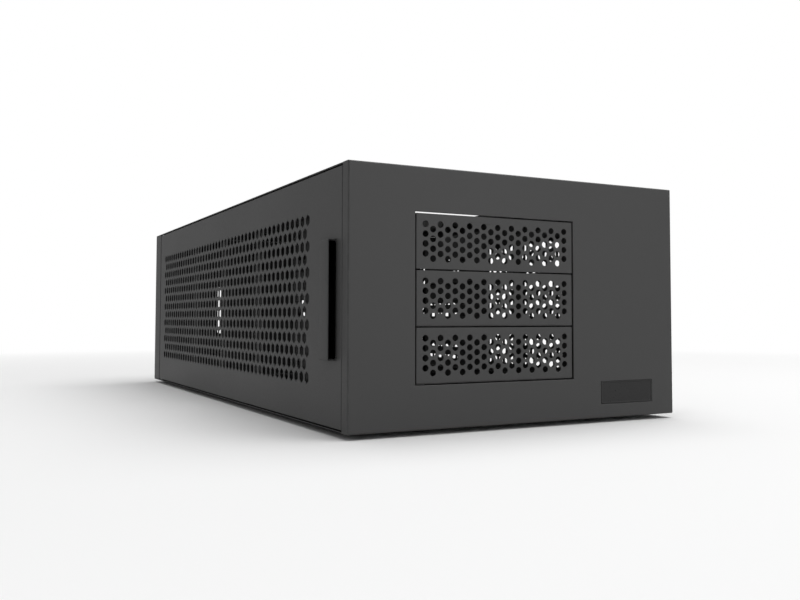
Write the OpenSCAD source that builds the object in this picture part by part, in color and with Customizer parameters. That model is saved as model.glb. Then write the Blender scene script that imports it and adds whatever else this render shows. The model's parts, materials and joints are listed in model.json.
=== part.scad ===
// Low, wide computer chassis in folded sheet steel: a front panel with three drive bays behind
// perforated covers, and two perforated side doors that swing on pins at their rear edges.
// Every piece is drawn in box coordinates, x from the left face, y from the front, z from the
// floor, and is then moved so that the origin is under the middle of the chassis.

/* [Body] */
// Width of the body without the door pulls
body_w = 310; // [290:1:330]
// Depth of the body
body_d = 677; // [660:1:720]
// Height of the body without its feet
body_h = 197.5; // [196:0.5:206]
// Thickness of the folded sheet steel
sheet_t = 1.2; // [1:0.1:1.4]

/* [Front panel] */
// Depth of the front panel's shell
panel_d = 10.8; // [9:0.2:13]
// Wall of the front panel's shell
panel_wall = 2; // [1.6:0.1:2.4]
// Radius of the front panel's outer edges
panel_edge_r = 1.5; // [0.8:0.1:1.6]
// Distance from the left face to the bay window
window_x = 54.3; // [50:0.1:60]
// Height of the bay window's lower edge above the floor
window_z = 37.2; // [34:0.1:40]
// Width of the badge plate
badge_w = 56; // [40:1:60]
// Height of the badge plate
badge_h = 19; // [14:1:22]
// Thickness of the badge plate
badge_t = 0.8; // [0.6:0.1:1]
// Distance from the right face to the badge plate
badge_side = 24.5; // [20:0.5:32]
// Height of the badge plate's lower edge above the floor
badge_z = 15.5; // [12:0.5:16]

/* [Bay covers] */
// Width of one bay cover
cover_w = 144.8; // [144:0.1:146]
// Height of one bay cover
cover_h = 42; // [41.4:0.1:42.4]
// Gap round each bay cover
cover_gap = 1; // [0.8:0.1:1.2]
// Depth of a bay cover's side flanges
cover_flange = 12; // [10:0.5:13]
// Diameter of a hole in a bay cover
cover_hole_d = 5; // [4.4:0.1:5.4]
// Distance between neighbouring holes in a bay cover
cover_pitch = 7.45; // [7.2:0.05:7.6]
// How far a bay cover stands behind the front panel's face
cover_sink = 0.5; // [0.3:0.1:0.8]

/* [Side doors] */
// Gap between a door and its surround
door_gap = 0.8; // [0.6:0.1:1]
// Distance across the flats of a hexagonal door hole
mesh_flats = 8; // [7:0.1:8.4]
// Distance between neighbouring hexagonal door holes
mesh_pitch = 12.06; // [11.8:0.02:12.4]
// Plain margin between the door's front edge and the first hole centre
mesh_front = 71; // [68:0.5:76]
// Plain margin between the door's rear edge and the last hole centre
mesh_rear = 29.6; // [28:0.2:34]
// Plain margin between the door's long edges and the nearest hole centres
mesh_edge = 33.7; // [32:0.1:34]
// Depth of the door's folded edges
door_fold = 4.3; // [3.5:0.1:4.5]
// Height of the door pull
pull_h = 90; // [80:1:96]
// How far the door pull stands out from the door
pull_out = 5.5; // [5.4:0.1:6.5]

/* [Hinges] */
// Distance of the hinge axis from the door's outer face
hinge_in = 5; // [4.8:0.1:5.2]
// Radius of a hinge pin
pin_r = 2; // [1.8:0.1:2.1]
// Radial clearance of a hinge pin in its bore
pin_fit = 0.05; // [0.02:0.01:0.1]
// Depth of the fixed strip behind each door
strip_d = 30.6; // [28:0.2:33]

/* [Drive cage] */
// Inner width of the drive cage
cage_w = 148.2; // [148:0.1:149]
// Depth at which the cage's solid rear part starts
cage_open_y = 131; // [125:1:136]
// Depth at which the cage ends
cage_end_y = 262; // [250:1:270]
// Radius of a drive lock's hub
hub_r = 6; // [5:0.1:6.5]
// Radius of a drive lock's grip disc
grip_r = 10; // [8:0.5:10.5]

/* [Fan brackets] */
// Distance from the outer face to a fan bracket
bracket_in = 6; // [5.9:0.1:6.5]
// Distance between neighbouring fans
fan_pitch = 120; // [119:0.5:122]
// Distance between a fan's mounting holes
fan_hole_span = 105; // [104:0.5:106]
// Radius of a fan's mounting hole
fan_hole_r = 2.15; // [2:0.05:2.3]
// Depth of the first fan's centre
fan_first_y = 170; // [168:1:174]
// Width of the bars between the fans
fan_bar = 23; // [22.8:0.1:24]

/* [Top and rear] */
// Plain border beside the top opening
top_border = 47; // [44:1:52]
// Depth at which the top opening starts
top_open_y = 205; // [195:1:215]
// Length of the top opening
top_open_d = 110; // [90:1:130]
// Width of a rear cable slot
slot_w = 13; // [12:0.5:16]
// Height of a rear cable slot
slot_h = 66; // [60:1:70]
// Distance from the side to a rear cable slot
slot_side = 85; // [80:1:90]

/* [Feet] */
// Height of the feet
foot_h = 4; // [3.5:0.1:5]
// Radius of a foot
foot_r = 15; // [12:0.5:16]
// Distance from the side to a foot's centre
foot_side = 36; // [34:1:38]
// Distance from the front or rear to a foot's centre
foot_end = 60; // [50:1:70]

/* [Hidden] */
$fn = 48;
over = 1;

// Colours
steel_paint = "#444445";
panel_paint = "#4a4a4b";
inner_paint = "#343435";
rubber = "#1c1c1d";
zinc = "#9a9c9e";
badge_black = "#202022";
lock_grey = "#5b5d60";

// Heights
pan_top = foot_h + sheet_t;
top_z = foot_h + body_h;
top_under = top_z - sheet_t;

// Planes behind the front panel
frame_gap = 0.2;
frame_y = panel_d + frame_gap;
frame_back = frame_y + sheet_t;
rail_in = bracket_in + sheet_t;
post_w = 17;
post_d = 17.8;
post_end = frame_back + post_d;

// Bays
bay_count = 3;
cover_step = cover_h + cover_gap;
window_w = cover_w + 2 * cover_gap;
window_h = bay_count * cover_step + cover_gap;
window_mid = window_x + window_w / 2;
cover_x = window_x + cover_gap;
cage_in_x = window_mid - cage_w / 2;
cage_out_x = cage_in_x - sheet_t;
cage_top_room = 4.8;
cage_top = window_z + window_h + cage_top_room;
cage_post = 4.8;
cage_flange = 12;
ledge_w = 5;
ledge_strip = 6;
cage_foot_edge = 4.8;
screw_slot_h = 3.4;
screw_slot_rises = [10, 21.84];
screw_slot_y = 174;
screw_slot_end = 12;
function cover_low(n) = window_z + cover_gap + (bay_count - n) * cover_step;
function cover_mid(n) = cover_low(n) + cover_h / 2;

// Doors
door_y = panel_d + door_gap;
strip_y = body_d - strip_d;
hinge_front = 6.4;
hinge_y = strip_y - hinge_front;
door_tail = 3.2;
door_end = hinge_y + door_tail;
door_clear = 1;
door_low = pan_top + door_clear;
door_high = top_under - door_clear;
door_len = door_end - door_y;
door_tall = door_high - door_low;
row_step = mesh_pitch * cos(30);
mesh_rows = floor((door_tall - 2 * mesh_edge) / row_step) + 1;
mesh_cols = floor((door_len - mesh_front - mesh_rear) / mesh_pitch) + 1;
mesh_mid_y = door_y + mesh_front + (door_len - mesh_front - mesh_rear) / 2;
mesh_mid_z = (door_low + door_high) / 2;
ear_w = 9.5;
ear_front = 7;
ear_sweep = 12;
rail_end = hinge_y - ear_sweep;

// Door pull
pull_drop = 1.75;
pull_mid_z = foot_h + body_h / 2 - pull_drop;
pull_y = 24.5;
pull_flat = 17.5;
pull_ramp = 9;
pull_wall = 1.2;
cup_deep = 14;
cup_front = 3;
cup_len = 28;
cup_slope = 9;
cup_inset = 0.6;
cup_wall = 1.4;
cup_low = pull_mid_z - pull_h / 2 + cup_inset;
cup_high = pull_mid_z + pull_h / 2 - cup_inset;
cup_y = pull_y - cup_front;
cup_end = cup_y + cup_len;
cup_floor = cup_deep - cup_wall;
cup_lip = 0.5;
cup_run = cup_slope / (cup_deep - sheet_t);
pull_room = 6;
function ramp_y(x) = cup_y + cup_wall * norm([1, cup_run]) + (x - sheet_t) * cup_run;

// Magnets
magnet_h = 14;
magnet_d = 12;
magnet_y = door_y + door_fold;
magnet_gap = 0.3;
magnet_z = 30;

// Fan brackets
bracket_y = 56;
bracket_low = 14;
bracket_drop = 11.5;
bracket_high = top_z - bracket_drop;
fan_window_low = 34;
fan_window_drop = 29.5;
fan_window_high = top_z - fan_window_drop;
fan_count = 3;
front_bar_end = 104;
rear_bar_w = 4;
bracket_tail = 2;
bracket_end = rail_end + bracket_tail;
fan_ear = 5;
fan_mid_z = foot_h + body_h / 2;
fan_last_y = fan_first_y + (fan_count - 1) * fan_pitch;
bracket_screw_y = 14;
bracket_screw_low = 24;
bracket_screw_drop = 19;
small_head_r = 4;
small_head_h = 2.2;
small_shank_r = 1.5;
small_shank = 4.4;

// Side flanges of the pan and the top rails
pan_flange_high = 30;
rail_drop = 26.5;
rail_low = top_z - rail_drop;
rail_flange_in = 20;
rail_narrow_in = 12;

// Top and rear
top_corner_r = 6;
stack_hole_r = 2.25;
stack_side = 22;
stack_end = 38.5;
rear_sink = 4;
rear_y = body_d - rear_sink;
rear_gap = 0.2;
rear_in = rear_y - sheet_t;
post_lip = 16;
slot_mid_z = 99;
trim_t = 2;
trim_d = 3.6;
rear_screw_in = 9;
rear_screw_edge = 20;

// Small parts
peg_boss_r = 4;
peg_r = 2.4;
peg_fit = 0.1;
peg_past = 2.8;
peg_edge = 24;
foot_screw_r = 2;
foot_head_r = 4.2;
foot_head_up = 0.4;
foot_recess = 1.8;
foot_recess_r = 4.5;
foot_screw_past = 2.4;
pin_collar_r = 4;
pin_collar_h = 0.8;
pin_past = 3.6;
lock_d = 34;
lock_h = 24;
lock_t = 3;
lock_past_window = 22;
lock_y = cage_open_y + lock_past_window;
lock_gap = 0.3;
lock_fit = 0.05;
lock_pin_r = 3;
lock_disc_t = 2.9;
lock_bar_w = 5;
lock_bar_t = 4;
lock_bar_edge = 1;
brace_d = 26;
brace_back = 2;
brace_tab = 12;
brace_low_z = 30;
cage_screw_r = 1.6;
cage_head_r = 3.5;
cage_screw_y = cage_end_y - brace_back - brace_d / 2;
cage_screw_top = cage_top - brace_tab / 2;
cage_screw_bottom = brace_low_z - brace_tab / 2;
clip_t = 2;
clip_tall = 5;
clip_low = 0.3;
clip_end = 20;
clip_nib = 2;
nib_gap = 0.3;
rivet_r = 2;
rivet_head_r = 3.5;
rivet_head_t = 0.6;
rivet_first_y = 48;
rivet_last_edge = 40;
rivet_count = 4;
rivet_gap = (rail_end - rivet_last_edge - rivet_first_y) / (rivet_count - 1);

module place() {
    translate([-body_w / 2, -body_d / 2, 0])
        children();
}

module mirrored() {
    mirror([1, 0, 0])
        place()
            children();
}

// Block between two opposite corners
module slab(low, high) {
    translate(low)
        cube(high - low);
}

// Two-dimensional shape in y and z, made into a sheet from x to x + t
module side_sheet(x, t) {
    translate([x, 0, 0])
        rotate([90, 0, 90])
            linear_extrude(t)
                children();
}

// Two-dimensional shape in x and z, made into a sheet from y to y + t
module front_sheet(y, t) {
    translate([0, y + t, 0])
        rotate([90, 0, 0])
            linear_extrude(t)
                children();
}

module box2(low, high) {
    translate(low)
        square(high - low);
}

module round_box2(low, high, r) {
    box2([low.x + r, low.y], [high.x - r, high.y]);
    box2([low.x, low.y + r], [high.x, high.y - r]);
    for (x = [low.x + r, high.x - r])
        for (y = [low.y + r, high.y - r])
            translate([x, y])
                circle(r);
}

// Round bar along x from a point
module bar_x(at, r, length) {
    translate(at)
        rotate([0, 90, 0])
            cylinder(r = r, h = length);
}

// Round bar along y from a point
module bar_y(at, r, length) {
    translate(at)
        rotate([-90, 0, 0])
            cylinder(r = r, h = length);
}

module foot_places() {
    for (x = [foot_side, body_w - foot_side])
        for (y = [foot_end, body_d - foot_end])
            translate([x, y, 0])
                children();
}

module bottom_pan() {
    color(inner_paint)
        place()
            difference() {
                union() {
                    slab([0, frame_y, foot_h], [body_w, body_d, pan_top]);
                    for (x = [rail_in, body_w - rail_in - sheet_t])
                        slab([x, post_end, foot_h], [x + sheet_t, rail_end, pan_flange_high]);
                }
                foot_places()
                    cylinder(r = foot_screw_r, h = pan_top + over);
                for (x = [hinge_in, body_w - hinge_in])
                    translate([x, hinge_y, 0])
                        cylinder(r = pin_r, h = pan_top + over);
                bracket_screw_holes(bracket_screw_low);
            }
}

module bracket_screw_holes(z) {
    for (y = bracket_screws_y())
        bar_x([-over, y, z], small_shank_r, body_w + 2 * over);
}

function bracket_screws_y() = [bracket_y + bracket_screw_y, bracket_end - bracket_screw_y];

module top_panel() {
    open_low = [top_border, top_open_y];
    open_high = [body_w - top_border, top_open_y + top_open_d];
    color(steel_paint)
        place()
            difference() {
                slab([0, frame_y, top_under], [body_w, body_d, top_z]);
                translate([0, 0, top_under - over])
                    linear_extrude(sheet_t + 2 * over)
                        round_box2(open_low, open_high, top_corner_r);
                for (x = [stack_side, body_w - stack_side])
                    for (y = [stack_end, body_d - stack_end])
                        translate([x, y, top_under - over])
                            cylinder(r = stack_hole_r, h = sheet_t + 2 * over);
                for (x = [hinge_in, body_w - hinge_in])
                    translate([x, hinge_y, top_under - over])
                        cylinder(r = pin_r, h = sheet_t + 2 * over);
                rivet_places()
                    translate([0, 0, top_under - over])
                        cylinder(r = rivet_r, h = sheet_t + 2 * over);
            }
}

module rivet_places() {
    rivet_x = (rail_in + sheet_t + rail_flange_in) / 2;
    for (x = [rivet_x, body_w - rivet_x])
        for (n = [0 : rivet_count - 1])
            translate([x, rivet_first_y + n * rivet_gap, 0])
                children();
}

module top_panel_rivets() {
    color(steel_paint)
        place()
            rivet_places() {
                translate([0, 0, top_under - sheet_t])
                    cylinder(r = rivet_r, h = 2 * sheet_t);
                translate([0, 0, top_under - sheet_t - rivet_head_t])
                    cylinder(r = rivet_head_r, h = rivet_head_t);
            }
}

module front_frame() {
    color(inner_paint)
        place()
            front_sheet(frame_y, sheet_t)
                difference() {
                    box2([rail_in, pan_top], [body_w - rail_in, top_under]);
                    box2([cage_in_x, window_z - cover_gap],
                        [cage_in_x + cage_w, cage_top]);
                    peg_places()
                        circle(peg_r + peg_fit);
                }
}

module peg_places() {
    for (x = [peg_edge, window_x + window_w + peg_edge, body_w - peg_edge])
        for (z = [foot_h + peg_edge, top_z - peg_edge])
            translate([x, z])
                children();
}

module front_panel() {
    r = panel_edge_r;
    badge_x = body_w - badge_side - badge_w;
    color(panel_paint)
        place()
            difference() {
                intersection() {
                    translate([0, 0, foot_h])
                        linear_extrude(body_h)
                            soft_front([0, 0], [body_w, panel_d], r);
                    side_sheet(0, body_w)
                        rotate(-90)
                            soft_front([-top_z, 0], [-foot_h, panel_d], r);
                }
                slab([panel_wall, panel_wall, foot_h + panel_wall],
                    [body_w - panel_wall, panel_d + over, top_z - panel_wall]);
                slab([window_x, -over, window_z],
                    [window_x + window_w, panel_wall + over, window_z + window_h]);
                slab([badge_x, -over, badge_z], [badge_x + badge_w, badge_t, badge_z + badge_h]);
            }
}

// Rectangle whose two corners at low y are rounded
module soft_front(low, high, r) {
    box2([low.x, low.y + r], high);
    box2([low.x + r, low.y], [high.x - r, high.y]);
    for (x = [low.x + r, high.x - r])
        translate([x, low.y + r])
            circle(r);
}

module front_panel_clips() {
    color(rubber)
        place()
            for (x = [peg_edge, window_x + window_w + peg_edge, body_w - peg_edge])
                for (z = [foot_h + peg_edge, top_z - peg_edge]) {
                    bar_y([x, panel_wall, z], peg_boss_r, frame_y - panel_wall);
                    bar_y([x, panel_wall, z], peg_r, frame_back + peg_past - panel_wall);
                }
}

module badge_plate() {
    badge_x = body_w - badge_side - badge_w;
    color(badge_black)
        place()
            slab([badge_x, 0, badge_z], [badge_x + badge_w, badge_t, badge_z + badge_h]);
}

// Places of the two cable slots, as the lower left corner of each
function slot_corners() = [
    [slot_side, slot_mid_z - slot_h / 2],
    [body_w - slot_side - slot_w, slot_mid_z - slot_h / 2]
];

module slot_shape(extra) {
    for (c = slot_corners())
        round_box2(c - [extra, extra], c + [slot_w + extra, slot_h + extra], trim_t + extra);
}

module rear_panel() {
    color(inner_paint)
        place()
            front_sheet(rear_in, sheet_t)
                difference() {
                    box2([sheet_t + rear_gap, pan_top + rear_gap],
                        [body_w - sheet_t - rear_gap, top_under - rear_gap]);
                    slot_shape(trim_t);
                    rear_screw_places()
                        circle(small_shank_r);
                }
}

module rear_slot_trims() {
    color(rubber)
        place() {
            front_sheet(rear_in, sheet_t)
                difference() {
                    slot_shape(trim_t);
                    slot_shape(0);
                }
            for (y = [rear_in - sheet_t, rear_y])
                front_sheet(y, sheet_t)
                    difference() {
                        slot_shape(trim_t + sheet_t);
                        slot_shape(0);
                    }
        }
}

module rear_screw_places() {
    for (x = [rear_screw_in, body_w - rear_screw_in])
        for (z = [foot_h + rear_screw_edge, foot_h + body_h / 2, top_z - rear_screw_edge])
            translate([x, z])
                children();
}

module rear_panel_screws() {
    color(zinc)
        place()
            for (x = [rear_screw_in, body_w - rear_screw_in])
                for (z = [foot_h + rear_screw_edge, foot_h + body_h / 2, top_z - rear_screw_edge]) {
                    bar_y([x, rear_in - small_shank, z], small_shank_r, small_shank + sheet_t);
                    bar_y([x, rear_y, z], small_head_r, small_head_h);
                }
}

module front_post() {
    color(inner_paint)
        difference() {
            union() {
                slab([rail_in, frame_back, pan_top], [rail_in + post_w, frame_back + sheet_t, top_under]);
                slab([rail_in, frame_back, pan_top], [rail_in + sheet_t, post_end, top_under]);
            }
            slab([rail_in - over, frame_back - over, cup_low - pull_room],
                [cup_deep + over, post_end + over, cup_high + pull_room]);
            for (z = [foot_h + peg_edge, top_z - peg_edge])
                bar_y([peg_edge, frame_back - over, z], peg_r + peg_fit, sheet_t + 2 * over);
        }
}

module front_post_left() { place() front_post(); }

module front_post_right() { mirrored() front_post(); }

module rear_post() {
    color(steel_paint)
        difference() {
            union() {
                slab([0, strip_y, pan_top], [sheet_t, body_d, top_under]);
                slab([0, strip_y, pan_top], [post_lip, strip_y + sheet_t, top_under]);
                slab([0, rear_in - sheet_t, pan_top], [post_lip, rear_in, top_under]);
            }
            for (z = [foot_h + rear_screw_edge, foot_h + body_h / 2, top_z - rear_screw_edge])
                bar_y([rear_screw_in, rear_in - sheet_t - over, z], small_shank_r,
                    sheet_t + 2 * over);
        }
}

module rear_post_left() { place() rear_post(); }

module rear_post_right() { mirrored() rear_post(); }

module top_rail() {
    color(inner_paint)
        difference() {
            union() {
                slab([rail_in, post_end, rail_low], [rail_in + sheet_t, rail_end, top_under]);
                slab([rail_in, post_end, top_under - sheet_t],
                    [rail_flange_in, rail_end, top_under]);
                slab([rail_narrow_in, post_end, top_under - sheet_t],
                    [rail_flange_in, strip_y, top_under]);
            }
            bracket_screw_holes(top_z - bracket_screw_drop);
            rivet_places()
                translate([0, 0, top_under - sheet_t - over])
                    cylinder(r = rivet_r, h = sheet_t + 2 * over);
        }
}

module top_rail_left() { place() top_rail(); }

module top_rail_right() { mirrored() top_rail(); }

module fan_bracket() {
    bar_ends = [for (n = [0 : fan_count - 1]) fan_first_y + (n + 1 / 2) * fan_pitch];
    window_starts = concat([front_bar_end], [for (y = bar_ends) y + fan_bar / 2]);
    window_ends = concat([for (y = bar_ends) y - fan_bar / 2], [bracket_end - rear_bar_w]);
    color(inner_paint)
        side_sheet(bracket_in, sheet_t)
            difference() {
                union() {
                    difference() {
                        box2([bracket_y, bracket_low], [bracket_end, bracket_high]);
                        for (n = [0 : fan_count])
                            box2([window_starts[n], fan_window_low],
                                [window_ends[n], fan_window_high]);
                    }
                    for (z = [fan_mid_z - fan_hole_span / 2, fan_mid_z + fan_hole_span / 2])
                        box2([front_bar_end - fan_ear, z - fan_ear],
                            [fan_first_y - fan_hole_span / 2 + fan_ear, z + fan_ear]);
                }
                for (n = [0 : fan_count - 1])
                    for (y = [-fan_hole_span / 2, fan_hole_span / 2])
                        for (z = [-fan_hole_span / 2, fan_hole_span / 2])
                            translate([fan_first_y + n * fan_pitch + y, fan_mid_z + z])
                                circle(fan_hole_r);
                for (y = bracket_screws_y())
                    for (z = [bracket_screw_low, top_z - bracket_screw_drop])
                        translate([y, z])
                            circle(small_shank_r);
            }
}

module fan_bracket_left() { place() fan_bracket(); }

module fan_bracket_right() { mirrored() fan_bracket(); }

module bracket_screw_set() {
    color(zinc)
        for (y = bracket_screws_y())
            for (z = [bracket_screw_low, top_z - bracket_screw_drop]) {
                bar_x([bracket_in - small_head_h, y, z], small_head_r, small_head_h);
                bar_x([bracket_in, y, z], small_shank_r, small_shank);
            }
}

module fan_bracket_screws() {
    place() bracket_screw_set();
    mirrored() bracket_screw_set();
}

module cage_plate(lock_bores) {
    side = [cage_out_x, cage_in_x];
    color(inner_paint)
        difference() {
            union() {
                slab([side[0], frame_back, pan_top], [side[1], cage_end_y, cage_top]);
                slab([side[0] - cage_flange, frame_back, pan_top],
                    [side[0], frame_back + sheet_t, cage_top]);
                slab([side[0] - cage_flange, frame_back, pan_top],
                    [side[0], cage_end_y, pan_top + sheet_t]);
                for (n = [1 : bay_count])
                    slab([side[0], frame_back + cage_post, cover_low(n) - sheet_t],
                        [side[1] + ledge_w, cage_end_y, cover_low(n)]);
            }
            for (n = [1 : bay_count])
                slab([side[0] - over, frame_back + cage_post, cover_low(n) + ledge_strip / 2],
                    [side[1] + over, cage_open_y, cover_low(n) + cover_step - ledge_strip / 2]);
            slab([side[0] - over, frame_back + cage_post, pan_top + cage_foot_edge],
                [side[1] + over, cage_open_y, window_z - cage_foot_edge]);
            for (n = [1 : bay_count])
                for (rise = screw_slot_rises)
                    translate([0, 0, cover_low(n) + rise - screw_slot_h / 2])
                        slab([side[0] - over, screw_slot_y, 0],
                            [side[1] + over, cage_end_y - screw_slot_end, screw_slot_h]);
            for (z = [cage_screw_top, cage_screw_bottom])
                bar_x([side[0] - over, cage_screw_y, z], cage_screw_r, sheet_t + 2 * over);
            if (lock_bores)
                for (n = [1 : bay_count])
                    bar_x([side[0] - over, lock_y, cover_mid(n)], lock_pin_r + lock_fit,
                        sheet_t + 2 * over);
        }
}

module bay_cage_left() { place() cage_plate(true); }

// The right plate is the left one, turned over about the middle of the window
module bay_cage_right() {
    place()
        window_flip()
            cage_plate(false);
}

module window_flip() {
    translate([2 * window_mid, 0, 0])
        mirror([1, 0, 0])
            children();
}

module cage_braces() {
    y0 = cage_end_y - brace_back - brace_d;
    y1 = cage_end_y - brace_back;
    color(inner_paint)
        place() {
            difference() {
                union() {
                    slab([cage_out_x - sheet_t, y0, cage_top],
                        [2 * window_mid - cage_out_x + sheet_t, y1, cage_top + sheet_t]);
                    for (x = [cage_out_x - sheet_t, 2 * window_mid - cage_out_x])
                        slab([x, y0, cage_top - brace_tab], [x + sheet_t, y1, cage_top + sheet_t]);
                }
                bar_x([0, cage_screw_y, cage_screw_top], cage_screw_r, body_w);
            }
            difference() {
                union() {
                    slab([cage_in_x, y0, brace_low_z - sheet_t],
                        [cage_in_x + cage_w, y1, brace_low_z]);
                    for (x = [cage_in_x, cage_in_x + cage_w - sheet_t])
                        slab([x, y0, brace_low_z - brace_tab], [x + sheet_t, y1, brace_low_z]);
                }
                bar_x([0, cage_screw_y, cage_screw_bottom], cage_screw_r, body_w);
            }
        }
}

module cage_screw_pair() {
    bar_x([cage_out_x - sheet_t - small_head_h, cage_screw_y, cage_screw_top], cage_head_r,
        small_head_h);
    bar_x([cage_out_x - sheet_t, cage_screw_y, cage_screw_top], cage_screw_r, 2 * sheet_t);
    bar_x([cage_out_x - small_head_h, cage_screw_y, cage_screw_bottom], cage_head_r,
        small_head_h);
    bar_x([cage_out_x, cage_screw_y, cage_screw_bottom], cage_screw_r, 2 * sheet_t);
}

module cage_screws() {
    color(zinc)
        place() {
            cage_screw_pair();
            window_flip() cage_screw_pair();
        }
}

module drive_lock_bases() {
    x = cage_out_x - lock_t;
    color(rubber)
        place()
            for (n = [1 : bay_count])
                difference() {
                    side_sheet(x, lock_t)
                        round_box2([lock_y - lock_d / 2, cover_mid(n) - lock_h / 2],
                            [lock_y + lock_d / 2, cover_mid(n) + lock_h / 2], clip_t);
                    bar_x([x - over, lock_y, cover_mid(n)], hub_r + lock_fit, lock_t + 2 * over);
                }
}

module drive_lock_knob(n) {
    hub_end = cage_out_x - lock_gap;
    disc_end = cage_out_x - lock_t - lock_gap;
    disc_x = disc_end - lock_disc_t;
    bar_half = grip_r - lock_bar_edge;
    color(lock_grey)
        place() {
            bar_x([disc_end, lock_y, cover_mid(n)], hub_r, hub_end - disc_end);
            bar_x([disc_end, lock_y, cover_mid(n)], lock_pin_r, cage_in_x - lock_gap - disc_end);
            bar_x([disc_x, lock_y, cover_mid(n)], grip_r, lock_disc_t);
            slab([disc_x - lock_bar_t, lock_y - bar_half, cover_mid(n) - lock_bar_w / 2],
                [disc_x, lock_y + bar_half, cover_mid(n) + lock_bar_w / 2]);
        }
}

module drive_lock_knob_1() { drive_lock_knob(1); }

module drive_lock_knob_2() { drive_lock_knob(2); }

module drive_lock_knob_3() { drive_lock_knob(3); }

// A shouldered pin stands in the pan and another hangs from the top panel
module hinge_pin_pair() {
    color(zinc)
        translate([hinge_in, hinge_y, 0]) {
            translate([0, 0, foot_h])
                cylinder(r = pin_r, h = sheet_t + door_clear + sheet_t + pin_past);
            translate([0, 0, pan_top])
                cylinder(r = pin_collar_r, h = pin_collar_h);
            translate([0, 0, top_under - door_clear - sheet_t - pin_past])
                cylinder(r = pin_r, h = pin_past + sheet_t + door_clear + sheet_t);
            translate([0, 0, top_under - pin_collar_h])
                cylinder(r = pin_collar_r, h = pin_collar_h);
        }
}

module hinge_pins_left() { place() hinge_pin_pair(); }

module hinge_pins_right() { mirrored() hinge_pin_pair(); }

module magnet_pair() {
    color(zinc)
        for (z = [magnet_z, top_z - magnet_z + foot_h])
            slab([sheet_t + magnet_gap, magnet_y, z - magnet_h / 2],
                [rail_in, magnet_y + magnet_d, z + magnet_h / 2]);
}

module door_magnets_left() { place() magnet_pair(); }

module door_magnets_right() { mirrored() magnet_pair(); }

module mesh_holes() {
    for (row = [0 : mesh_rows - 1]) {
        cols = mesh_cols - row % 2;
        z = mesh_mid_z + (row - (mesh_rows - 1) / 2) * row_step;
        for (col = [0 : cols - 1])
            translate([mesh_mid_y + (col - (cols - 1) / 2) * mesh_pitch, z])
                rotate(30)
                    circle(r = mesh_flats / 2 / cos(30), $fn = 6);
    }
}

module door_panel() {
    color(steel_paint)
        difference() {
            union() {
                side_sheet(0, sheet_t)
                    difference() {
                        box2([door_y, door_low], [door_end, door_high]);
                        mesh_holes();
                        box2([cup_y, cup_low], [cup_end, cup_high]);
                    }
                for (z = [door_low, door_high - sheet_t]) {
                    slab([0, door_y, z], [sheet_t + door_fold, door_end, z + sheet_t]);
                    slab([0, hinge_y - ear_front, z], [ear_w, door_end, z + sheet_t]);
                }
                slab([0, door_y, door_low], [sheet_t + door_fold, door_y + sheet_t, door_high]);
            }
            translate([hinge_in, hinge_y, 0])
                cylinder(r = pin_r + pin_fit, h = top_z);
        }
}

module door_panel_left() { place() door_panel(); }

module door_panel_right() { mirrored() door_panel(); }

// Hood over the door, open to the front, and a cup behind the door whose front wall slopes in
module door_pull() {
    low = pull_mid_z - pull_h / 2;
    high = pull_mid_z + pull_h / 2;
    flat_end = pull_y + pull_flat;
    ramp_end = flat_end + pull_ramp;
    color(rubber)
        difference() {
            union() {
                translate([0, 0, low])
                    linear_extrude(pull_h)
                        polygon([[0, pull_y], [-pull_out, pull_y], [-pull_out, flat_end],
                            [0, ramp_end]]);
                translate([0, 0, cup_low])
                    linear_extrude(cup_high - cup_low)
                        polygon([[0, cup_y], [sheet_t, cup_y], [cup_deep, cup_y + cup_slope],
                            [cup_deep, cup_end], [0, cup_end]]);
            }
            translate([0, 0, low + pull_wall])
                linear_extrude(pull_h - 2 * pull_wall)
                    polygon([[over, pull_y - over], [-pull_out + pull_wall, pull_y - over],
                        [-pull_out + pull_wall, flat_end - pull_wall / 2],
                        [0, ramp_end - 2 * pull_wall], [over, ramp_end - 2 * pull_wall - over]]);
            translate([0, 0, cup_low + cup_wall])
                linear_extrude(cup_high - cup_low - 2 * cup_wall)
                    polygon([[-cup_lip, ramp_y(-cup_lip)], [cup_floor, ramp_y(cup_floor)],
                        [cup_floor, cup_end - cup_wall], [-cup_lip, cup_end - cup_wall]]);
        }
}

module door_pull_left() { place() door_pull(); }

module door_pull_right() { mirrored() door_pull(); }

module cover_holes(n) {
    col_step = cover_pitch * cos(30);
    rows = floor((cover_h - 2 * cover_pitch) / cover_pitch) + 1;
    cols = floor((cover_w - 2 * cover_pitch) / col_step) + 1;
    for (col = [0 : cols - 1])
        for (row = [0 : rows - 1])
            translate([window_mid + (col - (cols - 1) / 2) * col_step,
                cover_mid(n) + (row - (rows - 1) / 2 + (col % 2 == 0 ? 1 : -1) / 4) * cover_pitch])
                circle(d = cover_hole_d);
}

module bay_cover(n) {
    low = [cover_x, cover_low(n)];
    high = [cover_x + cover_w, cover_low(n) + cover_h];
    back = cover_sink + cover_flange;
    color(panel_paint)
        place() {
            front_sheet(cover_sink, sheet_t)
                difference() {
                    box2(low, high);
                    cover_holes(n);
                }
            for (x = [low.x, high.x - sheet_t])
                slab([x, cover_sink, low.y], [x + sheet_t, back, high.y]);
        }
}

module bay_cover_1() { bay_cover(1); }

module bay_cover_2() { bay_cover(2); }

module bay_cover_3() { bay_cover(3); }

// One spring clip on the inside of a cover's flange, with a nib that reaches past the flange
module cover_clip(n) {
    low = cover_low(n) + clip_low;
    flange_in = cover_x + sheet_t;
    color(rubber) {
        slab([flange_in, cover_sink + sheet_t, low], [flange_in + clip_t, clip_end, low + clip_tall]);
        slab([window_x + nib_gap, clip_end - clip_nib, low],
            [flange_in + clip_t, clip_end, low + clip_tall]);
    }
}

module cover_clip_pair(n) {
    place() {
        cover_clip(n);
        window_flip() cover_clip(n);
    }
}

module cover_clips_1() { cover_clip_pair(1); }

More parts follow.
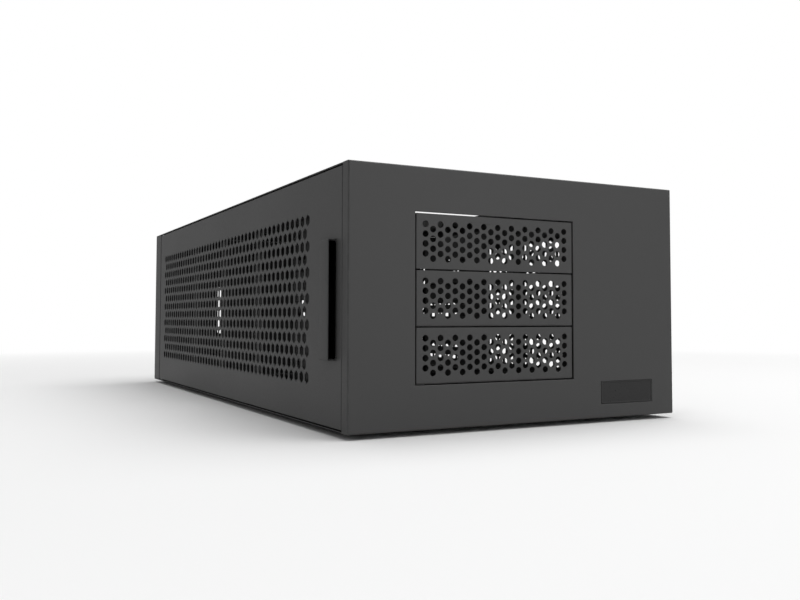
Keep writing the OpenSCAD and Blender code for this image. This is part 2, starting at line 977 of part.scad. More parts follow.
module cover_clips_2() { cover_clip_pair(2); }

module cover_clips_3() { cover_clip_pair(3); }

module feet() {
    color(rubber)
        place()
            foot_places()
                difference() {
                    cylinder(r = foot_r, h = foot_h);
                    translate([0, 0, -over])
                        cylinder(r = foot_recess_r, h = foot_recess + over);
                    cylinder(r = foot_screw_r, h = foot_h + over);
                }
}

module foot_screws() {
    color(zinc)
        place()
            foot_places() {
                translate([0, 0, foot_head_up])
                    cylinder(r = foot_head_r, h = foot_recess - foot_head_up);
                translate([0, 0, foot_head_up])
                    cylinder(r = foot_screw_r, h = pan_top + foot_screw_past - foot_head_up);
            }
}

bottom_pan();
top_panel();
front_frame();
front_panel();
front_panel_clips();
badge_plate();
rear_panel();
rear_slot_trims();
rear_panel_screws();
front_post_left();
front_post_right();
rear_post_left();
rear_post_right();
top_rail_left();
top_rail_right();
fan_bracket_left();
fan_bracket_right();
fan_bracket_screws();
bay_cage_left();
bay_cage_right();
cage_braces();
cage_screws();
drive_lock_bases();
drive_lock_knob_1();
drive_lock_knob_2();
drive_lock_knob_3();
hinge_pins_left();
hinge_pins_right();
door_magnets_left();
door_magnets_right();
door_panel_left();
door_panel_right();
door_pull_left();
door_pull_right();
bay_cover_1();
bay_cover_2();
bay_cover_3();
cover_clips_1();
cover_clips_2();
cover_clips_3();
feet();
foot_screws();
top_panel_rivets();
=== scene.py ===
import json
import math

import bmesh
import bpy
import numpy as np
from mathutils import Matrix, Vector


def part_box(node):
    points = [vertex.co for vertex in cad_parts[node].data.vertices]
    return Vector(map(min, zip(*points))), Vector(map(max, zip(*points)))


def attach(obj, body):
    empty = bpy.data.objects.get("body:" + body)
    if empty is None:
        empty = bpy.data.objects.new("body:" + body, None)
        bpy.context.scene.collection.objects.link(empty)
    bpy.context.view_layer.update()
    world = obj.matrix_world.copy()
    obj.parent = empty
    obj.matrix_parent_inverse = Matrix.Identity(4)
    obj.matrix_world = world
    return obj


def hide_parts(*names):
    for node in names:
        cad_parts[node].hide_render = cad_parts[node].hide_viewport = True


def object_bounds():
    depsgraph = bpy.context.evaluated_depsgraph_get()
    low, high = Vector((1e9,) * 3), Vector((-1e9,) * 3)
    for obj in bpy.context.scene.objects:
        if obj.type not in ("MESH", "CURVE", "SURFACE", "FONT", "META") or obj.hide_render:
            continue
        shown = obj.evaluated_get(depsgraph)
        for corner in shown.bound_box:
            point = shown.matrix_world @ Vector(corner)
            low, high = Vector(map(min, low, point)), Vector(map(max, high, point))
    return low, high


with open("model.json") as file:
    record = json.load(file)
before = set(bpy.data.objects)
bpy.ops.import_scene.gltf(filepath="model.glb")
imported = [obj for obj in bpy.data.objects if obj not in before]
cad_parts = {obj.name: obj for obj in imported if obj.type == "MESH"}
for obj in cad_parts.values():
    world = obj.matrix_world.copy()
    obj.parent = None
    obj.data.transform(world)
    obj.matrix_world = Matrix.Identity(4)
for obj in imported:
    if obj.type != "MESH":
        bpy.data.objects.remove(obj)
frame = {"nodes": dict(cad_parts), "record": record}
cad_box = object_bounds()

# Looks of a low steel pedestal chassis with three covered drive bays and perforated side doors.
# Lengths are in metres in the row frame: x to the right, y to the rear, z up.
MM = 0.001
SCENE = bpy.context.scene
RECORD = frame["record"]
BODY_OF = {node: body for body, nodes in RECORD["behaviour"]["bodies"].items() for node in nodes}
SLOT_OF = {part["node"]: part["material_slot"] for part in RECORD["subparts"]}

# Vertices closer than this are one, and edges sharper than this stay sharp on turned and moulded parts
WELD = 0.002 * MM
SHARP = math.radians(35)

# Axis triples that turn a piece made along +Z so that it points along another axis
TOWARDS = {
    "+x": ((0, 1, 0), (0, 0, 1), (1, 0, 0)),
    "-x": ((0, 0, 1), (0, 1, 0), (-1, 0, 0)),
    "+y": ((0, 0, 1), (1, 0, 0), (0, 1, 0)),
    "-y": ((1, 0, 0), (0, 0, 1), (0, -1, 0)),
    "+z": ((1, 0, 0), (0, 1, 0), (0, 0, 1)),
    "-z": ((0, 1, 0), (1, 0, 0), (0, 0, -1)),
}


# Shader nodes

class Net:
    """Short calls for filling a node tree."""

    def __init__(self, tree):
        self.tree = tree

    def add(self, kind, inputs=None, **settings):
        """A node with its settings, and each input given as a value or as the socket that feeds it."""
        node = self.tree.nodes.new(kind)
        for name, value in settings.items():
            setattr(node, name, value)
        for key, value in (inputs or {}).items():
            if isinstance(value, bpy.types.NodeSocket):
                self.tree.links.new(value, node.inputs[key])
            else:
                node.inputs[key].default_value = value
        return node

    def math(self, operation, a, b):
        return self.add("ShaderNodeMath", {0: a, 1: b}, operation=operation).outputs[0]

    def noise(self, position, scale, detail=2.0, roughness=0.5):
        inputs = {"Vector": position, "Scale": scale, "Detail": detail, "Roughness": roughness}
        return self.add("ShaderNodeTexNoise", inputs).outputs["Fac"]

    def spread(self, value, low, high, to_low=0.0, to_high=1.0):
        """Value from low to high, mapped to to_low to to_high and held at both ends."""
        inputs = {"Value": value, "From Min": low, "From Max": high, "To Min": to_low, "To Max": to_high}
        return self.add("ShaderNodeMapRange", inputs).outputs["Result"]

    def blend(self, share, a, b):
        node = self.add("ShaderNodeMix", data_type="RGBA")
        for socket, value in ((node.inputs["Factor"], share), (node.inputs[6], a), (node.inputs[7], b)):
            if isinstance(value, bpy.types.NodeSocket):
                self.tree.links.new(value, socket)
            else:
                socket.default_value = value
        return node.outputs[2]


def grey(level, warmth=0.0):
    """Opaque grey of a linear level; warmth above zero leans to red, below zero to blue."""
    return (level * (1 + warmth), level, level * (1 - warmth), 1.0)


def new_group(name, inputs, outputs):
    """Empty shader group with named float inputs and outputs, and its Net, input and output nodes."""
    tree = bpy.data.node_groups.new(name, "ShaderNodeTree")
    for socket, value in inputs.items():
        made = tree.interface.new_socket(socket, in_out="INPUT", socket_type="NodeSocketFloat")
        made.default_value = value
    for socket in outputs:
        tree.interface.new_socket(socket, in_out="OUTPUT", socket_type="NodeSocketFloat")
    net = Net(tree)
    return tree, net, net.add("NodeGroupInput"), net.add("NodeGroupOutput")


def make_grain_group():
    """Orange peel of a powder coat or moulded skin: fine bumps on a slow wave, and a faint change
    of tone."""
    tree, net, given, made = new_group("surface_grain", {"Bumps per metre": 900.0, "Peel": 0.5},
                                       ["Tone", "Height"])
    place = net.add("ShaderNodeTexCoord").outputs["Object"]
    fine = net.noise(place, given.outputs["Bumps per metre"], 3.0, 0.6)
    coarse_share, cloud_scale, cloud_share, speck_share = 0.22, 7.0, 0.45, 0.55
    coarse_scale = net.math("MULTIPLY", given.outputs["Bumps per metre"], coarse_share)
    coarse = net.noise(place, coarse_scale, 1.0, 0.4)
    peel = net.math("MULTIPLY", coarse, given.outputs["Peel"])
    height = net.math("ADD", fine, peel)
    cloud = net.noise(place, cloud_scale, 3.0, 0.5)
    speck = net.spread(fine, 0.32, 0.7)
    tone = net.math("ADD", net.math("MULTIPLY", cloud, cloud_share),
                    net.math("MULTIPLY", speck, speck_share))
    net.tree.links.new(tone, made.inputs["Tone"])
    net.tree.links.new(height, made.inputs["Height"])
    return tree


def make_wear_and_highlight_group():
    """Rubbed edges with a painted highlight: the rim attribute of the rounded edges, broken up by noise,
    gives where the colour is lightened.
    """
    tree, net, given, made = new_group("edge_wear_and_highlight", {"Amount": 0.3}, ["Mask"])
    rim = net.add("ShaderNodeAttribute", attribute_name="rim").outputs["Fac"]
    place = net.add("ShaderNodeTexCoord").outputs["Object"]
    patch_scale = 60.0
    patches = net.spread(net.noise(place, patch_scale, 4.0, 0.65), 0.42, 0.72)
    mask = net.math("MULTIPLY", net.math("MULTIPLY", rim, patches), given.outputs["Amount"])
    net.tree.links.new(mask, made.inputs["Mask"])
    return tree


def make_dust_group():
    """Thin dust on faces that look up, in soft drifts."""
    tree, net, given, made = new_group("settled_dust", {"Amount": 0.1}, ["Mask"])
    place = net.add("ShaderNodeTexCoord").outputs["Object"]
    facing = net.add("ShaderNodeSeparateXYZ", {0: net.add("ShaderNodeNewGeometry").outputs["Normal"]})
    upward = net.spread(facing.outputs["Z"], 0.35, 1.0)
    drift_scale = 16.0
    drifts = net.spread(net.noise(place, drift_scale, 5.0, 0.6), 0.35, 0.75, 0.25, 1.0)
    mask = net.math("MULTIPLY", net.math("MULTIPLY", upward, drifts), given.outputs["Amount"])
    net.tree.links.new(mask, made.inputs["Mask"])
    return tree


GRAIN = make_grain_group()
WEAR_AND_HIGHLIGHT = make_wear_and_highlight_group()
DUST = make_dust_group()
DUST_COLOUR = grey(0.42, 0.05)
DUST_ROUGHNESS = 0.5


def finish_material(name, colour, spread, rough, grain, peel, relief, wear_and_highlight=0.0, wear_and_highlight_colour=None,
                    dust=0.0, metallic=0.0, specular=0.5):
    """Principled surface: a colour that the grain lightens and darkens by spread, roughness from low
    to high over the grain, relief in metres, worn edges lightened partly as a painted highlight, and
    settled dust."""
    material = bpy.data.materials.new(name)
    material.use_nodes = True
    material.node_tree.nodes.clear()
    net = Net(material.node_tree)
    skin = net.add("ShaderNodeGroup", {}, node_tree=GRAIN)
    skin.inputs["Bumps per metre"].default_value = grain
    skin.inputs["Peel"].default_value = peel
    dark, light = (tuple(c * k for c in colour[:3]) + (1.0,) for k in (1 - spread, 1 + spread))
    tint = net.blend(skin.outputs["Tone"], dark, light)
    roughness = net.spread(skin.outputs["Tone"], 0.2, 0.8, rough[0], rough[1])
    # Worn edges, partly a painted highlight: the rim mask blends the colour towards the lighter wear
    # colour
    if wear_and_highlight:
        rubbed_and_lit = net.add("ShaderNodeGroup", {}, node_tree=WEAR_AND_HIGHLIGHT)
        rubbed_and_lit.inputs["Amount"].default_value = wear_and_highlight
        tint = net.blend(rubbed_and_lit.outputs["Mask"], tint, wear_and_highlight_colour)
    if dust:
        settled = net.add("ShaderNodeGroup", {}, node_tree=DUST)
        settled.inputs["Amount"].default_value = dust
        tint = net.blend(settled.outputs["Mask"], tint, DUST_COLOUR)
        roughness = net.math("ADD", roughness,
                             net.math("MULTIPLY", settled.outputs["Mask"], DUST_ROUGHNESS))
    bump = net.add("ShaderNodeBump", {"Height": skin.outputs["Height"], "Strength": 1.0,
                                      "Distance": relief})
    shader = net.add("ShaderNodeBsdfPrincipled", {"Base Color": tint, "Roughness": roughness,
                                                  "Normal": bump.outputs["Normal"]})
    shader.inputs["Metallic"].default_value = metallic
    shader.inputs["Specular IOR Level"].default_value = specular
    net.add("ShaderNodeOutputMaterial", {"Surface": shader.outputs[0]})
    return material


# The wear colour is lighter than each paint: partly rubbed paint, partly a painted highlight along the
# rounded edges
PAINT = {"grain": 1500, "peel": 0.6, "relief": 0.03 * MM, "wear_and_highlight": 0.35, "wear_and_highlight_colour": grey(0.11),
         "dust": 0.02}
INNER_PAINT = {"grain": 1300, "peel": 0.6, "relief": 0.03 * MM, "wear_and_highlight": 0.3, "dust": 0.04}
MOULDED = {"peel": 0.3, "relief": 0.03 * MM, "wear_and_highlight": 0.2}
FINISHES = {
    "panel_paint": {"colour": grey(0.050), "spread": 0.09, "rough": (0.42, 0.56), **PAINT},
    "steel_paint": {"colour": grey(0.050), "spread": 0.09, "rough": (0.40, 0.54), **PAINT},
    "inner_paint": {"colour": grey(0.036), "spread": 0.10, "rough": (0.44, 0.60),
                    "wear_and_highlight_colour": grey(0.09), **INNER_PAINT},
    # Painted shade: the bracket paint is made near black, darker than the inner paint, so the fan
    # bracket bars just behind the door mesh look shaded
    "bracket_paint": {"colour": grey(0.014), "spread": 0.12, "rough": (0.46, 0.62),
                      "wear_and_highlight_colour": grey(0.06), **INNER_PAINT},
    "pull_plastic": {"colour": grey(0.048), "spread": 0.08, "rough": (0.48, 0.62), "grain": 2200,
                     "wear_and_highlight_colour": grey(0.09), "dust": 0.02, **MOULDED},
    "black_plastic": {"colour": grey(0.016), "spread": 0.12, "rough": (0.38, 0.55), "grain": 1800,
                      "wear_and_highlight_colour": grey(0.05), "dust": 0.03, **MOULDED},
    "lock_plastic": {"colour": grey(0.10, -0.03), "spread": 0.08, "rough": (0.38, 0.52), "grain": 1900,
                     "wear_and_highlight_colour": grey(0.2), "dust": 0.03, **MOULDED},
    "badge": {"colour": grey(0.014), "spread": 0.10, "rough": (0.26, 0.36), "grain": 700, "peel": 0.4,
              "relief": 0.008 * MM, "specular": 0.4, "dust": 0.01},
    "rubber": {"colour": grey(0.018), "spread": 0.15, "rough": (0.66, 0.86), "grain": 2600,
               "peel": 0.4, "relief": 0.05 * MM, "dust": 0.08},
    "zinc": {"colour": grey(0.42, -0.015), "spread": 0.12, "rough": (0.24, 0.44), "grain": 1600,
             "peel": 0.5, "relief": 0.01 * MM, "metallic": 1.0},
    "magnet": {"colour": grey(0.46, 0.02), "spread": 0.08, "rough": (0.18, 0.32), "grain": 900,
               "peel": 0.5, "relief": 0.006 * MM, "metallic": 1.0},
}
MATERIALS = {name: finish_material(name, **values) for name, values in FINISHES.items()}


# Surfaces as numpy arrays: a surface is an array of rings, shaped (rings, points, 3)

def fillet(points, radius, steps=4):
    """Polyline with each inner corner P between neighbours A and B replaced by the curve
    (1-s)^2 U + 2s(1-s) P + s^2 V, where U and V lie radius (at most half a side) from P."""
    line = np.asarray(points, float)
    before, corner, after = line[:-2], line[1:-1], line[2:]
    back, ahead = before - corner, after - corner
    back_len = np.linalg.norm(back, axis=1)[:, None]
    ahead_len = np.linalg.norm(ahead, axis=1)[:, None]
    start = corner + back / back_len * np.minimum(radius, back_len / 2)
    end = corner + ahead / ahead_len * np.minimum(radius, ahead_len / 2)
    s = np.linspace(0, 1, steps + 1)[None, :, None]
    curve = (1 - s) ** 2 * start[:, None] + 2 * s * (1 - s) * corner[:, None] + s ** 2 * end[:, None]
    return np.concatenate([line[:1], curve.reshape(-1, 2), line[-1:]])


def turned(profile, steps=40, waves=0, depth=0.0):
    """Profile of (radius r, height h) carried round the Z axis: (r cos a, r sin a, h). With waves,
    r shrinks by depth * (1 - cos(waves * a)) / 2 where r is near its largest."""
    r, h = np.asarray(profile, float).T
    a = np.arange(steps) * 2 * np.pi / steps
    waves_from, waves_fade = 0.8, 0.15
    near_rim = np.clip((r / r.max() - waves_from) / waves_fade, 0, 1)
    radius = r[:, None] - near_rim[:, None] * depth * (1 - np.cos(waves * a)) / 2
    height = np.broadcast_to(h[:, None], radius.shape)
    return np.stack([radius * np.cos(a), radius * np.sin(a), height], -1)


def rounded_loop(half_w, half_h, corner, steps=6):
    """Rectangle with round corners, as points and outward normals: each corner is a quarter circle
    (centre + corner * (cos a, sin a)), and the straight sides join them."""
    a = np.linspace(0, np.pi / 2, steps + 1)
    angles = (a[None] + np.arange(4)[:, None] * np.pi / 2).ravel()
    sign_x = np.repeat([1, -1, -1, 1], steps + 1)
    sign_y = np.repeat([1, 1, -1, -1], steps + 1)
    normal = np.stack([np.cos(angles), np.sin(angles)], -1)
    centre = np.stack([sign_x * (half_w - corner), sign_y * (half_h - corner)], -1)
    return centre + corner * normal, normal


def tablet(half_w, half_h, corner, profile, steps=6):
    """Rounded rectangle carried up through a profile of (inset, height): each ring is the outline moved
    inwards by the inset along its normals."""
    loop, normal = rounded_loop(half_w, half_h, corner, steps)
    inset, height = np.asarray(profile, float).T
    flat = loop[None] - inset[:, None, None] * normal[None]
    lift = np.broadcast_to(height[:, None, None], flat.shape[:2] + (1,))
    return np.concatenate([flat, lift], -1)


def frame_sweep(half_w, half_h, corner, profile, steps=6):
    """Closed profile of (outward distance, height) carried round a rounded rectangle: a ring per
    outline point, each point at outline + distance * normal, raised by height."""
    loop, normal = rounded_loop(half_w, half_h, corner, steps)
    out, height = np.asarray(profile, float).T
    flat = loop[:, None] + out[None, :, None] * normal[:, None]
    lift = np.broadcast_to(height[None, :, None], flat.shape[:2] + (1,))
    return np.concatenate([flat, lift], -1)


def cross_head(radius, height, depth, arm, steps=56, rings=15):
    """Pan head from its rim to its middle: z = height * sqrt(1 - (1 - q) ^ 2.4), where q goes from 0
    at the rim to 1 at 0.45 of the way in, less a cross recess of the given depth whose arms are
    2 * arm wide."""
    share = np.concatenate([np.linspace(0, 0.3, 6), np.linspace(0.36, 1, rings - 6)])
    r = radius * (1 - share)
    a = (np.arange(steps) + 0.5) * 2 * np.pi / steps
    x, y = r[:, None] * np.cos(a), r[:, None] * np.sin(a)
    dome = height * np.sqrt(1 - (1 - np.minimum(share / 0.45, 1)) ** 2.4)[:, None]
    across = np.minimum(np.abs(x), np.abs(y))
    along = np.maximum(np.abs(x), np.abs(y))
    narrow = np.clip((arm - across) / (0.35 * arm) + 0.5, 0, 1)
    short = np.clip((0.55 * radius - along) / (0.2 * radius), 0, 1)
    return np.stack([x, y, dome - depth * narrow * short], -1)


def turn_to(rings, direction, origin):
    """Rings made along +Z, turned to a direction of TOWARDS and moved to their origin."""
    return rings @ np.array(TOWARDS[direction], float) + np.asarray(origin, float)


def solid(name, surfaces, wrapped=False):
    """One mesh of closed surfaces. Neighbouring rings are joined by quads; the end rings are closed by a
    face each, or joined to each other when wrapped. Doubles are merged and faces turned outwards."""
    points, faces, count = [], [], 0
    for rings in surfaces:
        m, n = rings.shape[:2]
        index = count + np.arange(m * n).reshape(m, n)
        if wrapped:
            index = np.concatenate([index, index[:1]])
        right = np.roll(index, -1, axis=1)
        quads = np.stack([index[:-1], right[:-1], right[1:], index[1:]], -1)
        faces += quads.reshape(-1, 4).tolist()
        if not wrapped:
            faces += [index[0, ::-1].tolist(), index[-1].tolist()]
        points.append(rings.reshape(-1, 3))
        count += m * n
    mesh = bpy.data.meshes.new(name)
    mesh.from_pydata(np.concatenate(points).tolist(), [], faces)
    tidy = bmesh.new()
    tidy.from_mesh(mesh)
    bmesh.ops.remove_doubles(tidy, verts=tidy.verts, dist=WELD)
    bmesh.ops.recalc_face_normals(tidy, faces=tidy.faces)
    tidy.to_mesh(mesh)
    tidy.free()
    mesh.shade_smooth()
    mesh.set_sharp_from_angle(angle=SHARP)
    return mesh


def mark_rims(mesh):
    """Face attribute rim: 1 on faces that look along none of the three axes, as rounded edges do."""
    normals = np.empty(len(mesh.polygons) * 3, np.float32)
    mesh.polygons.foreach_get("normal", normals)
    along_an_axis = 0.995
    slanted = np.abs(normals.reshape(-1, 3)).max(axis=1) < along_an_axis
    rim = mesh.attributes.new("rim", "FLOAT", "FACE")
    rim.data.foreach_set("value", slanted.astype(np.float32))


def install(mesh, node):
    """Object of a finished mesh that stands for a CAD node: it rides on the node's body, takes its
    slot and finish, and replaces it."""
    mark_rims(mesh)
    piece = bpy.data.objects.new(mesh.name, mesh)
    SCENE.collection.objects.link(piece)
    mesh.materials.clear()
    mesh.materials.append(MATERIALS[SLOT_OF[node]])
    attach(piece, BODY_OF[node])
    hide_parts(node)
    return piece


def merged(node):
    """Merged copy of a CAD node's mesh as a bmesh, with its flat faces joined."""
    copy = bmesh.new()
    copy.from_mesh(frame["nodes"][node].data)
    bmesh.ops.remove_doubles(copy, verts=copy.verts, dist=WELD)
    flat = math.radians(0.5)
    bmesh.ops.dissolve_limit(copy, angle_limit=flat, verts=copy.verts, edges=copy.edges)
    return copy


def solids_of(node):
    """(lowest corner, highest corner) of each separate solid in a CAD node, in a fixed order."""
    copy = merged(node)
    left = set(copy.verts)
    boxes = []
    while left:
        reached = [left.pop()]
        for vert in reached:
            for edge in vert.link_edges:
                other = edge.other_vert(vert)
                if other in left:
                    left.remove(other)
                    reached.append(other)
        corners = np.array([vert.co for vert in reached])
        boxes.append((corners.min(0), corners.max(0)))
    copy.free()
    return sorted(boxes, key=lambda pair: tuple(np.round(pair[0], 5)))


# Sheet metal

def soften(node, cut=0.22 * MM, fold=0.9 * MM, inside=0.25 * MM, rim_width=1.35 * MM, steps=2):
    """Copy of a folded sheet part with its edges rounded as on the real one: the outer radius of a bend
    where two broad faces meet, a smaller inner radius, and a fine break along every cut rim. The
    normals are weighted by face area, so that the broad faces stay flat to the eye."""
    copy = merged(node)
    weight = copy.edges.layers.float.new("bevel_weight_edge")
    widest = max(cut, fold, inside)
    bend = math.radians(40)
    leeway = 1.05
    # A face is narrow where its mean width is no more than the thickness of the sheet
    narrow = {face: 2 * face.calc_area() / max(face.calc_perimeter(), MM) < rim_width / 2 * leeway
              for face in copy.faces}
    for edge in copy.edges:
        if len(edge.link_faces) != 2 or edge.calc_face_angle(0.0) < bend:
            continue
        if any(narrow[face] for face in edge.link_faces):
            edge[weight] = cut / widest
        else:
            edge[weight] = (fold if edge.is_convex else inside) / widest
    mesh = bpy.data.meshes.new(node + "_sheet")
    copy.to_mesh(mesh)
    copy.free()
    mesh.shade_smooth()
    holder = bpy.data.objects.new(mesh.name, mesh)
    SCENE.collection.objects.link(holder)
    rounding = holder.modifiers.new("rounding", "BEVEL")
    rounding.limit_method = "WEIGHT"
    rounding.width = widest
    rounding.segments = steps
    rounding.use_clamp_overlap = False
    weighting = holder.modifiers.new("flat_faces", "WEIGHTED_NORMAL")
    weighting.mode = "FACE_AREA"
    weighting.weight = 50
    weighting.keep_sharp = True
    depsgraph = bpy.context.evaluated_depsgraph_get()
    view = holder.evaluated_get(depsgraph)
    baked = bpy.data.meshes.new_from_object(view, preserve_all_data_layers=True, depsgraph=depsgraph)
    bpy.data.objects.remove(holder)
    baked.name = node + "_sheet"
    return install(baked, node)


SHEETS = {
    "bottom_pan": {}, "top_panel": {}, "front_frame": {}, "rear_panel": {},
    "front_panel": {"cut": 0.4 * MM, "fold": 0.4 * MM, "rim_width": 2.2 * MM},
    "front_post_left": {}, "front_post_right": {}, "rear_post_left": {}, "rear_post_right": {},
    "top_rail_left": {}, "top_rail_right": {}, "fan_bracket_left": {}, "fan_bracket_right": {},
    "bay_cage_left": {}, "bay_cage_right": {}, "cage_braces": {},
    "door_panel_left": {}, "door_panel_right": {},
    "bay_cover_1": {}, "bay_cover_2": {}, "bay_cover_3": {},
    "cover_clips_1": {}, "cover_clips_2": {}, "cover_clips_3": {},
    "drive_lock_bases": {"cut": 0.5 * MM, "fold": 0.5 * MM, "rim_width": 3.2 * MM},
    "door_pull_left": {"cut": 0.3 * MM, "fold": 0.9 * MM},
    "door_pull_right": {"cut": 0.3 * MM, "fold": 0.9 * MM},
}


# Fasteners and small parts

def screw_surfaces(low, high, direction, head_height, shank_radius):
    """Cross-head screw in the space of its CAD solid: a pan head towards the direction and a shank with
    a chamfered tip behind it."""
    axis = "xyz".index(direction[1])
    outward = 1 if direction[0] == "+" else -1
    middle = (low + high) / 2
    across = [i for i in range(3) if i != axis]
    head_radius = (high - low)[across].min() / 2
    length = (high - low)[axis]
    seat = middle.copy()
    seat[axis] = (high if outward > 0 else low)[axis] - outward * head_height
    recess, arm, chamfer, sunk, steps = 0.62 * head_height, 0.13 * head_radius, 0.5 * MM, 0.1 * MM, 24
    head = cross_head(head_radius, head_height, recess, arm)
    skirt = head[:1] * np.array([0.97, 0.97, 0])
    head = np.concatenate([skirt - np.array([0, 0, 0.02 * MM]), head])
    tip = length - head_height
    shank = turned([(shank_radius, sunk), (shank_radius, -tip + chamfer),
                    (shank_radius - chamfer, -tip)], steps)
    return [turn_to(head, direction, seat), turn_to(shank, direction, seat)]


def make_screws(node, head_height, shank_radius, direction_of):
    surfaces = []
    for low, high in solids_of(node):
        surfaces += screw_surfaces(low, high, direction_of(low, high), head_height, shank_radius)
    install(solid(node + "_heads", surfaces), node)


def away_from(node, axis):
    """Direction along an axis that leads away from the middle of a node."""
    low, high = (np.array(corner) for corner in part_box(node))
    middle = ((low + high) / 2)["xyz".index(axis)]

    def direction(first, last):
        return ("+" if (first + last)["xyz".index(axis)] / 2 > middle else "-") + axis
    return direction


def make_rivets(node):
    """Blind rivets: a low dome under the rail and a dimpled end that is flush with the top."""
    surfaces = []
    for low, high in solids_of(node):
        height = high[2] - low[2]
        head_r, head_h = (high[0] - low[0]) / 2, 0.6 * MM
        rivet_r, dimple = 2 * MM, 0.4 * MM
        profile = fillet([(0, 0), (0.55 * head_r, 0), (head_r, head_h - 0.1 * MM), (head_r, head_h),
                          (rivet_r, head_h), (rivet_r, height - 0.2 * MM),
                          (rivet_r - 0.3 * MM, height), (0.9 * MM, height),
                          (0.6 * MM, height - dimple), (0, height - dimple)], 0.25 * MM)
        middle = (low + high) / 2
        surfaces.append(turn_to(turned(profile, 32), "+z", (middle[0], middle[1], low[2])))
    install(solid(node + "_turned", surfaces), node)


def make_feet(node):
    """Rubber feet: a soft outer edge, three round grooves in the sole and a well for the screw."""
    surfaces = []
    for low, high in solids_of(node):
        radius, height = (high[0] - low[0]) / 2, high[2] - low[2]
        well_r, bore_r, well = 4.5 * MM, 2 * MM, 1.8 * MM
        groove, lip = 0.5 * MM, 0.7 * MM
        sole = [(well_r, 0)]
        for share in (0.3, 0.52, 0.74):
            at = well_r + share * (radius - well_r)
            sole += [(at - lip, 0), (at - lip / 2, groove), (at + lip / 2, groove), (at + lip, 0)]
        profile = fillet([(bore_r, well), (well_r, well)] + sole
                         + [(radius, 0), (radius - 0.6 * MM, height), (bore_r, height), (bore_r, well)],
                         0.45 * MM, 3)
        middle = (low + high) / 2
        ring = turned(profile, 56)
        surfaces.append(turn_to(ring, "+z", (middle[0], middle[1], low[2])))
    install(solid(node + "_moulded", surfaces, wrapped=True), node)


def make_hinge_pins(node):
    """Turned hinge pins: a round collar on the sheet and a chamfered, lightly domed end."""
    surfaces = []
    middle_z = sum(corner[2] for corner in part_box(node)) / 2
    for low, high in solids_of(node):
        up = low[2] < middle_z
        length, collar_r = high[2] - low[2], (high[0] - low[0]) / 2
        pin_r, sheet, collar = 2 * MM, 1.2 * MM, 0.8 * MM
        profile = [(0, 0.15 * MM), (1.5 * MM, 0), (pin_r, 0.2 * MM), (pin_r, sheet),
                   (collar_r, sheet), (collar_r, sheet + collar), (pin_r, sheet + collar),
                   (pin_r, length - 0.8 * MM), (pin_r - 0.7 * MM, length), (0, length)]
        middle = (low + high) / 2
        base = (middle[0], middle[1], low[2] if up else high[2])
        surfaces.append(turn_to(turned(fillet(profile, 0.15 * MM, 2), 40), "+z" if up else "-z", base))
    install(solid(node + "_turned", surfaces), node)


def make_panel_clips(node):
    """Push-in clips: a waisted boss on the panel and a peg with three barbs."""
    surfaces = []
    for low, high in solids_of(node):
        length, boss_r = high[1] - low[1], (high[0] - low[0]) / 2
        seat, peg_r, core_r = 9 * MM, 2.4 * MM, 1.5 * MM
        barbs = []
        pitch = (length - seat) / 3
        for n in range(3):
            start = seat + n * pitch
            barbs += [(peg_r, start + 0.15 * pitch), (core_r, start + 0.9 * pitch)]
        waist_r = 0.7 * boss_r
        boss = [(0, 0), (boss_r, 0), (boss_r, 1.2 * MM), (waist_r, 2 * MM), (waist_r, seat - 1.6 * MM),
                (boss_r, seat - 1 * MM), (boss_r, seat), (core_r, seat)]
        tip = [(core_r, length - 0.1 * MM), (0, length)]
        profile = fillet(boss + barbs + tip, 0.2 * MM, 2)
        middle = (low + high) / 2
        surfaces.append(turn_to(turned(profile, 32), "+y", (middle[0], low[1], middle[2])))
    install(solid(node + "_moulded", surfaces), node)


def make_magnets(node):
    """Door magnets: a plated block between two pole plates that stand a little proud."""
    surfaces = []
    for low, high in solids_of(node):
        size, middle = high - low, (low + high) / 2
        plate, groove, edge = 1.4 * MM, 0.25 * MM, 0.3 * MM
        height = size[1]
        profile = [(edge, 0), (0, edge), (0, plate), (groove, plate + 0.1 * MM),
                   (groove, height - plate - 0.1 * MM), (0, height - plate), (0, height - edge),
                   (edge, height)]
        block = tablet(size[2] / 2, size[0] / 2, 0.4 * MM, profile, 3)
        surfaces.append(turn_to(block, "+y", (middle[0], low[1], middle[2])))
    install(solid(node + "_plated", surfaces), node)


def make_badge(node):
    """Bare badge plate: a fine chamfer, then a raised border round a level field."""
    low, high = (np.array(corner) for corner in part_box(node))
    size, middle = high - low, (low + high) / 2
    height, corner, sunk = size[1], 1.9 * MM, 0.2 * MM
    profile = fillet([(0.05 * MM, 0), (0.05 * MM, height - 0.25 * MM), (0.35 * MM, height),
                      (1.1 * MM, height), (1.35 * MM, height - sunk), (1.8 * MM, height - sunk)],
                     0.08 * MM, 2)
    plate = tablet(size[0] / 2, size[2] / 2, corner, profile, 5)
    install(solid(node + "_moulded", [turn_to(plate, "-y", (middle[0], high[1], middle[2]))]), node)


